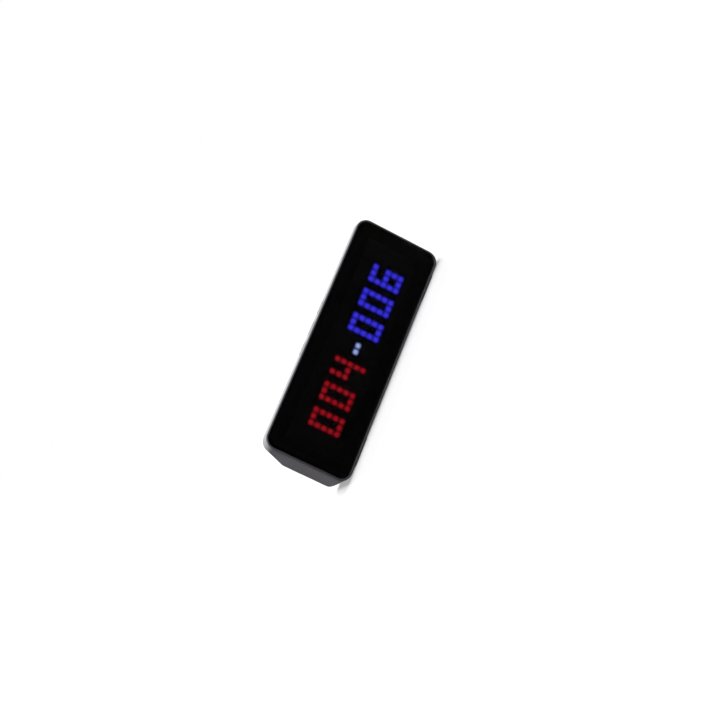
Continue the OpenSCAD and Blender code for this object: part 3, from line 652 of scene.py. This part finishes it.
def moulded_looks():
    """Colour, grain, roughness, its spread, shade, bump and, if unusual, shine, by slot."""
    case = bpy.context.scene.clock_case
    return {
        "case_silver": (case.colour, case.grain, 0.5, 0.16, 0.14, 0.5, 0.03),
        "key_silver": (case.key_colour, case.grain, 0.44, 0.1, 0.08, 0.2),
        "foot_rubber": ((0.03, 0.03, 0.031), 0.4 * MM, 0.8, 0.15, 0.3, 0.5),
        "black_foam": ((0.015, 0.015, 0.015), 0.3 * MM, 0.95, 0.05, 0.4, 0.6),
        "grid_black": ((0.012, 0.012, 0.012), 0.3 * MM, 0.7, 0.2, 0.3, 0.3, 0.2),
        "lamp_white": ((0.78, 0.77, 0.7), 0.6 * MM, 0.35, 0.1, 0.1, 0.1),
        "socket_white": ((0.7, 0.68, 0.61), 0.4 * MM, 0.5, 0.1, 0.12, 0.15),
        "ribbon_white": ((0.62, 0.62, 0.65), 0.5 * MM, 0.4, 0.15, 0.15, 0.1),
        "chip_black": ((0.016, 0.016, 0.017), 0.2 * MM, 0.5, 0.15, 0.3, 0.3),
        "sleeve_blue": ((0.012, 0.05, 0.26), 1.2 * MM, 0.28, 0.15, 0.2, 0.2),
        "lead_red": ((0.42, 0.012, 0.012), 0.5 * MM, 0.45, 0.1, 0.12, 0.15),
        "lead_black": ((0.014, 0.014, 0.014), 0.5 * MM, 0.45, 0.1, 0.2, 0.15),
        "lens_border": ((0.0015, 0.0015, 0.0016), 0.5 * MM, 0.6, 0.1, 0.2, 0.0, 0.0),
        "smoked_lens": ((0.0022, 0.0022, 0.0028), 3 * MM, 0.16, 0.06, 0.2, 0.0, 0.05),
        "film_smoked": ((0.004, 0.004, 0.004), 0.6 * MM, 0.7, 0.1, 0.2, 0.0, 0.0),
    }


# Colour and roughness of the metals, and colour, trace colour and roughness of the boards, by slot
METALS = {
    "screw_steel": ((0.46, 0.46, 0.47), 0.34),
    "shell_steel": ((0.58, 0.57, 0.55), 0.26),
    "cell_metal": ((0.52, 0.52, 0.53), 0.3),
    "contact_gold": ((0.72, 0.5, 0.2), 0.25),
}
BOARDS = {"circuit_board": ((0.006, 0.042, 0.018), (0.014, 0.085, 0.036), 0.35)}


def finish_of(slot):
    """The material of a record slot, or of a surface that only this script has, made once."""
    name = slot + "_finish"
    if name in bpy.data.materials:
        return bpy.data.materials[name]
    if slot in METALS:
        return metal(name, *METALS[slot])
    if slot in BOARDS:
        return board(name, *BOARDS[slot])
    return moulded(name, *moulded_looks()[slot])


# Operators, one for each piece or group of like pieces


class CLOCK_OT_housing(bpy.types.Operator):
    """Case with its small edges rounded"""

    bl_idname = "clock.housing"
    bl_label = "Housing"

    def execute(self, context):
        settings = context.scene.clock_case
        rim = [(Y, FRONT_Y)]
        others = [(Y, BACK_Y), (Z, CASE_LOW.z), (Z, CASE_HIGH.z)]
        rounds = [(rim, settings.rim_edge), (others, settings.edge)]
        rounded_part("housing", "clock_housing", "case", "case_silver", rounds)
        return {"FINISHED"}


class CLOCK_OT_lens(bpy.types.Operator):
    """Smoked lens with a printed border and rounded edges"""

    bl_idname = "clock.lens"
    bl_label = "Lens"

    corner: bpy.props.FloatProperty(
        name="Corner radius",
        description="Radius of the lens's corners",
        unit="LENGTH",
        default=7.65 * MM,
    )
    edge: bpy.props.FloatProperty(
        name="Edge rounding",
        description="Rounding of the lens's front edge",
        unit="LENGTH",
        default=0.35 * MM,
    )
    overlap: bpy.props.FloatProperty(
        name="Border overlap",
        description="How far the printed border reaches over the film",
        unit="LENGTH",
        default=0.3 * MM,
    )

    CORNER_STEPS = 12
    EDGE_STEPS = 4
    # Least share of a face's normal that points to the back
    BACK_FACING = 0.9

    def execute(self, context):
        size = LENS_HIGH - LENS_LOW
        middle = (LENS_HIGH + LENS_LOW) / 2
        place = (middle.x, LENS_HIGH.y, middle.z)
        piece = start_piece("clock_lens", (size.x, size.z, 1), location=place, rotation=UPRIGHT)
        bpy.ops.mesh.bevel(offset=self.corner, segments=self.CORNER_STEPS, affect="VERTICES")
        bpy.ops.mesh.select_all(action="SELECT")
        extrude(0, -size.y, 0)
        pick_edges(piece, [(Y, LENS_LOW.y)])
        bpy.ops.mesh.bevel(
            offset=self.edge, segments=self.EDGE_STEPS, profile=ROUND_PROFILE, affect="EDGES"
        )
        close_shape()
        smoked = self.smoked_finish(context.scene.clock_display.smoke)
        dress(piece, smoked, finish_of("lens_border"))
        self.window(piece)
        smooth(piece)
        settle(piece, "case", "smoked_lens", "front_lens")
        return {"FINISHED"}

    def window(self, piece):
        """Cuts the window's outline into the lens, with the border round it printed on the back."""
        only(piece)
        bpy.ops.object.mode_set(mode="EDIT")
        for axis, low, high in ((X, FILM_LOW.x, FILM_HIGH.x), (Z, FILM_LOW.z, FILM_HIGH.z)):
            across = Vector((0, 0, 0))
            across[axis] = 1
            for place in (low + self.overlap, high - self.overlap):
                bpy.ops.mesh.select_all(action="SELECT")
                bpy.ops.mesh.bisect(plane_co=place * across, plane_no=across)
        bpy.ops.object.mode_set(mode="OBJECT")
        for face in piece.data.polygons:
            x, _, z = face.center
            inside = FILM_LOW.x < x < FILM_HIGH.x and FILM_LOW.z < z < FILM_HIGH.z
            face.material_index = 1 if face.normal.y > self.BACK_FACING and not inside else 0

    def smoked_finish(self, smoke):
        """Smoked clear plastic that holds part of the light back."""
        material = finish_of("smoked_lens")
        material.node_tree.nodes["Principled BSDF"].inputs["Alpha"].default_value = smoke
        return material


class CLOCK_OT_picture(bpy.types.Operator):
    """Diffuser film with the light of the pixels behind it"""

    bl_idname = "clock.picture"
    bl_label = "Lit film"

    fine: bpy.props.IntProperty(
        name="Steps per pixel",
        description="Steps of the mesh along one pixel",
        default=11,
        min=3,
        max=30,
    )

    # Where the numbers and the dash start on the grid, and half the side of a lit square, in pixels
    TOP_ROW = 2
    LEFT_COLUMN, RIGHT_COLUMN, DIGIT_STEP = 3, 18, 4
    DASH_COLUMNS, DASH_ROW = (15, 16), 4
    LEFT_HALF, RIGHT_HALF, DASH_HALF = 0.39, 0.43, 0.39
    FRONT_SLACK = 0.01 * MM

    def execute(self, context):
        settings = context.scene.clock_display
        size = FILM_HIGH - FILM_LOW
        middle = (FILM_HIGH + FILM_LOW) / 2
        piece = start_piece(
            "lit_film",
            (size.x, size.z, 1),
            bpy.ops.mesh.primitive_grid_add,
            x_subdivisions=self.fine * settings.columns,
            y_subdivisions=self.fine * settings.rows,
            location=(middle.x, FILM_LOW.y, middle.z),
            rotation=UPRIGHT,
        )
        extrude(0, size.y, 0)
        close_shape()
        self.light(piece, settings, middle)
        smooth(piece)
        dress(piece, self.glowing_finish(settings.brightness))
        settle(piece, "case", "film_smoked", "diffuser_film")
        return {"FINISHED"}

    def lit_pixels(self, settings):
        """Column, row from the top, colour and half size of each lit pixel."""
        pixels = []
        for number, start, colour, half in (
            (settings.left_number, self.LEFT_COLUMN, settings.left_colour, self.LEFT_HALF),
            (settings.right_number, self.RIGHT_COLUMN, settings.right_colour, self.RIGHT_HALF),
        ):
            for place, digit in enumerate(number):
                first = start + self.DIGIT_STEP * place
                for row, line in enumerate(GLYPHS[digit], self.TOP_ROW):
                    lit = [column for column, mark in enumerate(line, first) if mark == "1"]
                    pixels += [(column, row, colour, half) for column in lit]
        for column in self.DASH_COLUMNS:
            pixels.append((column, self.DASH_ROW, settings.dash_colour, self.DASH_HALF))
        return pixels

    def light(self, piece, settings, middle):
        """Writes each point's light: soft squares that run together where neighbours are lit."""
        mesh = piece.data
        co = np.empty(len(mesh.vertices) * 3)
        mesh.vertices.foreach_get("co", co)
        co = co.reshape(-1, 3)
        column = (co[:, X] - middle.x) / settings.pitch + (settings.columns - 1) / 2
        row = (middle.z - co[:, Z]) / settings.pitch + (settings.rows - 1) / 2
        tone = np.zeros((len(co), 3))
        for lit_column, lit_row, colour, half in self.lit_pixels(settings):
            square = np.ones(len(co))
            for apart in (np.abs(column - lit_column), np.abs(row - lit_row)):
                square /= 1 + np.exp((apart - half) / settings.softness)
            tone += square[:, None] * np.array(colour) ** (1 / EYE_POWER)
        light = np.ones((len(co), 4))
        light[:, :3] = tone**EYE_POWER
        behind = co[:, Y] >= FILM_LOW.y + self.FRONT_SLACK
        light[behind, :3] = 0
        glow = mesh.color_attributes.new(name="pixel_light", type="FLOAT_COLOR", domain="POINT")
        glow.data.foreach_set("color", light.ravel())

    def glowing_finish(self, brightness):
        """Smoked film that glows where a pixel behind it is lit."""
        material = finish_of("film_smoked")
        tree = material.node_tree
        shader = tree.nodes["Principled BSDF"]
        light = node(tree, "ShaderNodeVertexColor", layer_name="pixel_light")
        tree.links.new(light.outputs["Color"], shader.inputs["Emission Color"])
        shader.inputs["Emission Strength"].default_value = brightness
        return material


class CLOCK_OT_keys(bpy.types.Operator):
    """Three keys on the top ledge"""

    bl_idname = "clock.keys"
    bl_label = "Keys"

    flange: bpy.props.FloatProperty(
        name="Flange width",
        description="How far the flange stands out round the cap",
        unit="LENGTH",
        default=0.6 * MM,
    )
    flange_height: bpy.props.FloatProperty(
        name="Flange height", description="Thickness of the flange", unit="LENGTH", default=0.8 * MM
    )
    crown: bpy.props.FloatProperty(
        name="Crown radius", description="Radius of the crowned top", unit="LENGTH", default=6 * MM
    )
    shoulder: bpy.props.FloatProperty(
        name="Shoulder radius",
        description="Rounding between the top and the wall",
        unit="LENGTH",
        default=0.3 * MM,
    )

    # Two corners of this share of the width nearly meet, and are merged into a round end
    END_SHARE = 0.4995
    END_STEPS = 12
    END_MERGE = 0.01 * MM
    # Degrees round the shoulder, and shares of the way in from there, where the top has an edge
    SHOULDER_STOPS = (0, 22.5, 45, 67.5, 90)
    CROWN_STOPS = (0.15, 0.35, 0.6, 0.85)

    def execute(self, context):
        for side in ("left", "select", "right"):
            piece = self.cap(f"key_{side}")
            dress(piece, finish_of("key_silver"))
            settle(piece, f"{side}_button", "key_silver", f"key_{side}")
        return {"FINISHED"}

    def drop(self, inward, half):
        """How far the top lies below its middle, this far in from the cap's outline."""
        down = self.crown - math.sqrt(self.crown**2 - (half - inward) ** 2)
        if inward < self.shoulder:
            down += self.shoulder - math.sqrt(self.shoulder**2 - (self.shoulder - inward) ** 2)
        return down

    def cap(self, name):
        """A pill on its flange, with a rounded shoulder and a crowned top."""
        low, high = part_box(name)
        size = high - low
        half = size.y / 2 - self.flange
        place = ((low.x + high.x) / 2, (low.y + high.y) / 2, low.z)
        piece = start_piece(name + "_cap", (size.x, size.y, 1), location=place)
        corner = self.END_SHARE * size.y
        bpy.ops.mesh.bevel(offset=corner, segments=self.END_STEPS, affect="VERTICES")
        bpy.ops.mesh.select_all(action="SELECT")
        bpy.ops.mesh.remove_doubles(threshold=self.END_MERGE)
        extrude(0, 0, self.flange_height)
        bpy.ops.mesh.inset(thickness=self.flange)
        wall = size.z - self.flange_height - self.drop(0, half)
        extrude(0, 0, wall)
        turns = [math.radians(angle) for angle in self.SHOULDER_STOPS]
        stops = [self.shoulder * (1 - math.cos(turn)) for turn in turns]
        stops += [self.shoulder + share * (half - self.shoulder) for share in self.CROWN_STOPS]
        for last, stop in zip(stops, stops[1:]):
            rise = self.drop(last, half) - self.drop(stop, half)
            bpy.ops.mesh.inset(thickness=stop - last, depth=rise)
        close_shape()
        smooth(piece)
        even_normals(piece)
        return piece


class CLOCK_OT_rear_cover(bpy.types.Operator):
    """Rear cover with softened openings, and its screws"""

    bl_idname = "clock.rear_cover"
    bl_label = "Rear cover"

    # The openings' rounding as a share of the case's, the screws' rounding, and the steps of both
    OPENING_SHARE = 0.6
    SCREW_EDGE = 0.08 * MM
    STEPS = 2

    def execute(self, context):
        back = [(Y, BACK_Y)]
        edges = [(back, self.OPENING_SHARE * context.scene.clock_case.edge)]
        rounded_part("rear_cover", "clock_rear_cover", "case", "case_silver", edges, self.STEPS)
        edges = [(back, self.SCREW_EDGE)]
        rounded_part("cover_screws", "clock_cover_screws", "case", "screw_steel", edges, self.STEPS)
        return {"FINISHED"}


class CLOCK_OT_power_key(bpy.types.Operator):
    """Round power key let into the rear cover"""

    bl_idname = "clock.power_key"
    bl_label = "Power key"

    EDGE = 0.3 * MM

    def execute(self, context):
        edges = [([(Y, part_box("power_key")[1].y)], self.EDGE)]
        rounded_part("power_key", "clock_power_key", "power_button", "key_silver", edges)
        return {"FINISHED"}


class CLOCK_OT_inlet(bpy.types.Operator):
    """Charging inlet with its metal mouth and gold contacts"""

    bl_idname = "clock.inlet"
    bl_label = "Charging inlet"

    contacts: bpy.props.IntProperty(
        name="Contacts on a side",
        description="Contacts on each side of the tongue",
        default=12,
        min=1,
        max=24,
    )

    EDGE = 0.07 * MM
    STEPS = 2
    # A contact's width as a share of the step between two, and its length as one of the tongue's
    WIDTH_SHARE = 0.55
    LENGTH_SHARE = 0.7
    THICKNESS = 0.04 * MM
    SETBACK = 0.35 * MM
    CHAMFER = 0.01 * MM

    def execute(self, context):
        edges = [([(Y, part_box("usb_shell")[1].y)], self.EDGE)]
        rounded_part("usb_shell", "clock_inlet_shell", "case", "shell_steel", edges, self.STEPS)
        self.strips()
        return {"FINISHED"}

    def strips(self):
        """One row of thin contacts on each side of the tongue."""
        low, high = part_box("usb_tongue")
        step = (high.x - low.x) / (self.contacts + 1)
        size = (self.WIDTH_SHARE * step, self.LENGTH_SHARE * (high.y - low.y), self.THICKNESS)
        end = high.y - self.SETBACK
        made = []
        for z in (low.z - self.THICKNESS / 2, high.z + self.THICKNESS / 2):
            for i in range(self.contacts):
                place = (low.x + step * (i + 1), end - size[Y] / 2, z)
                strip = start_piece(
                    "contact", size, bpy.ops.mesh.primitive_cube_add, location=place
                )
                pick_edges(strip, [(Y, end)])
                bpy.ops.mesh.bevel(offset=self.CHAMFER, segments=1, affect="EDGES")
                bpy.ops.object.mode_set(mode="OBJECT")
                made.append(strip)
        bpy.ops.object.select_all(action="DESELECT")
        for strip in made:
            strip.select_set(True)
        bpy.context.view_layer.objects.active = made[0]
        bpy.ops.object.join()
        piece = new_piece("clock_inlet_contacts")
        dress(piece, finish_of("contact_gold"))
        settle(piece, "case", "shell_steel")


class CLOCK_OT_feet(bpy.types.Operator):
    """Rubber feet with soft lower edges"""

    bl_idname = "clock.feet"
    bl_label = "Feet"

    EDGE = 0.3 * MM

    def execute(self, context):
        edges = [([(Z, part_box("rubber_feet")[0].z)], self.EDGE)]
        rounded_part("rubber_feet", "clock_feet", "case", "foot_rubber", edges)
        return {"FINISHED"}


class CLOCK_OT_inner_parts(bpy.types.Operator):
    """Finishes of the parts inside, which keep their CAD shapes"""

    bl_idname = "clock.inner_parts"
    bl_label = "Inner parts"

    # Slots of lens and film, which get their finishes when they are modelled
    OWN_SLOTS = ("smoked_lens", "film_smoked")

    def execute(self, context):
        for part in frame["record"]["subparts"]:
            if part["material_slot"] not in self.OWN_SLOTS:
                dress(frame["nodes"][part["node"]], finish_of(part["material_slot"]))
        return {"FINISHED"}


class CLOCK_OT_stage(bpy.types.Operator):
    """Pale floor, soft light and the camera"""

    bl_idname = "clock.stage"
    bl_label = "Stage"

    # Metres across the floor, how far it lies under the feet, and the range the camera sees
    FLOOR_SIZE = 60
    FLOOR_DROP = 0.02 * MM
    NEAREST, FARTHEST = 0.01, 200

    def execute(self, context):
        settings = context.scene.clock_stage
        self.floor(settings)
        self.sky(settings)
        self.lamp("stage_key", settings.key_place, settings.key_light, settings.key_spread)
        self.lamp("stage_back", settings.back_place, settings.back_light, settings.back_spread)
        self.camera(settings)
        context.scene.view_settings.view_transform = "Standard"
        return {"FINISHED"}

    def seen(self, tree):
        """1 for rays from the camera, a gloss or a glass, and 0 after they leave a matt surface."""
        path = node(tree, "ShaderNodeLightPath")
        camera, gloss = path.outputs["Is Camera Ray"], path.outputs["Is Glossy Ray"]
        first = math_node(tree, "MAXIMUM", camera, gloss)
        first = math_node(tree, "MAXIMUM", first, path.outputs["Is Transmission Ray"])
        matt = math_node(tree, "MINIMUM", path.outputs["Diffuse Depth"], 1.0)
        return math_node(tree, "MULTIPLY", first, math_node(tree, "SUBTRACT", 1.0, matt))

    def floor(self, settings):
        """A wide floor that looks white, keeps the shadow and sends little light back."""
        bpy.ops.object.select_all(action="DESELECT")
        bpy.ops.mesh.primitive_plane_add(size=self.FLOOR_SIZE, location=(0, 0, -self.FLOOR_DROP))
        floor = new_piece("stage_floor")
        bpy.ops.object.transform_apply(location=True, rotation=True, scale=True)
        material, tree, shader = shader_of("stage_floor")
        shader.inputs["Roughness"].default_value = 1
        shader.inputs["Specular IOR Level"].default_value = 0
        mix = node(tree, "ShaderNodeMix", data_type="RGBA")
        mix.inputs["A"].default_value = (*settings.floor_bounce, 1)
        mix.inputs["B"].default_value = (*settings.floor_colour, 1)
        seen = self.seen(tree)
        tree.links.new(seen, mix.inputs["Factor"])
        tree.links.new(mix.outputs["Result"], shader.inputs["Base Color"])
        shader.inputs["Emission Color"].default_value = WHITE
        white = math_node(tree, "MULTIPLY", seen, settings.floor_white)
        tree.links.new(white, shader.inputs["Emission Strength"])
        dress(floor, material)

    def sky(self, settings):
        """A sky that looks white and lights the clock a little from all round."""
        world = bpy.data.worlds.new("stage_sky")
        bpy.context.scene.world = world
        world.use_nodes = True
        tree = world.node_tree
        light = tree.nodes["Background"]
        light.inputs["Color"].default_value = WHITE
        mix = node(tree, "ShaderNodeMix", data_type="FLOAT")
        mix.inputs["A"].default_value = settings.sky_fill
        mix.inputs["B"].default_value = 1
        tree.links.new(self.seen(tree), mix.inputs["Factor"])
        tree.links.new(mix.outputs["Result"], light.inputs["Strength"])

    def lamp(self, name, place, strength, spread):
        """A soft distant light that shines from a place towards the clock."""
        bpy.ops.object.light_add(type="SUN", location=place)
        sun = bpy.context.object
        sun.name = name
        sun.data.energy = strength
        sun.data.angle = spread
        sun.rotation_mode = "QUATERNION"
        sun.rotation_quaternion = (-Vector(place)).to_track_quat("-Z", "Y")

    def camera(self, settings):
        """The camera at the photo's place, aim and roll."""
        bpy.ops.object.camera_add(location=settings.camera_place)
        camera = bpy.context.object
        camera.name = "stage_camera"
        camera.data.lens = settings.camera_lens
        camera.data.clip_start = self.NEAREST
        camera.data.clip_end = self.FARTHEST
        look = Vector(settings.camera_aim) - Vector(settings.camera_place)
        roll = Quaternion((0, 0, 1), settings.camera_roll)
        camera.rotation_mode = "QUATERNION"
        camera.rotation_quaternion = look.to_track_quat("-Z", "Y") @ roll
        bpy.context.scene.camera = camera


PIECES = (
    CLOCK_OT_inner_parts,
    CLOCK_OT_housing,
    CLOCK_OT_lens,
    CLOCK_OT_picture,
    CLOCK_OT_keys,
    CLOCK_OT_rear_cover,
    CLOCK_OT_power_key,
    CLOCK_OT_inlet,
    CLOCK_OT_feet,
    CLOCK_OT_stage,
)


class CLOCK_PT_sidebar(bpy.types.Panel):
    """Lists the clock's operators and settings in the sidebar"""

    bl_idname = "CLOCK_PT_sidebar"
    bl_label = "Smart pixel clock"
    bl_space_type = "VIEW_3D"
    bl_region_type = "UI"
    bl_category = "Clock"

    def draw(self, context):
        for operator in PIECES:
            self.layout.operator(operator.bl_idname)
        for group in ("clock_case", "clock_display", "clock_stage"):
            settings = getattr(context.scene, group)
            box = self.layout.box()
            for name in settings.__annotations__:
                box.prop(settings, name)


CLASSES = (CaseSettings, DisplaySettings, StageSettings, *PIECES, CLOCK_PT_sidebar)


def register():
    """Adds the clock's classes and its settings to the scene."""
    for made in CLASSES:
        bpy.utils.register_class(made)
    bpy.types.Scene.clock_case = bpy.props.PointerProperty(type=CaseSettings)
    bpy.types.Scene.clock_display = bpy.props.PointerProperty(type=DisplaySettings)
    bpy.types.Scene.clock_stage = bpy.props.PointerProperty(type=StageSettings)


def unregister():
    """Takes the clock's settings and classes away again."""
    del bpy.types.Scene.clock_stage
    del bpy.types.Scene.clock_display
    del bpy.types.Scene.clock_case
    for made in reversed(CLASSES):
        bpy.utils.unregister_class(made)


def main():
    """Builds the clock with its operators in order."""
    register()
    for operator in PIECES:
        group, name = operator.bl_idname.split(".")
        getattr(getattr(bpy.ops, group), name)()


if __name__ == "__main__":
    main()
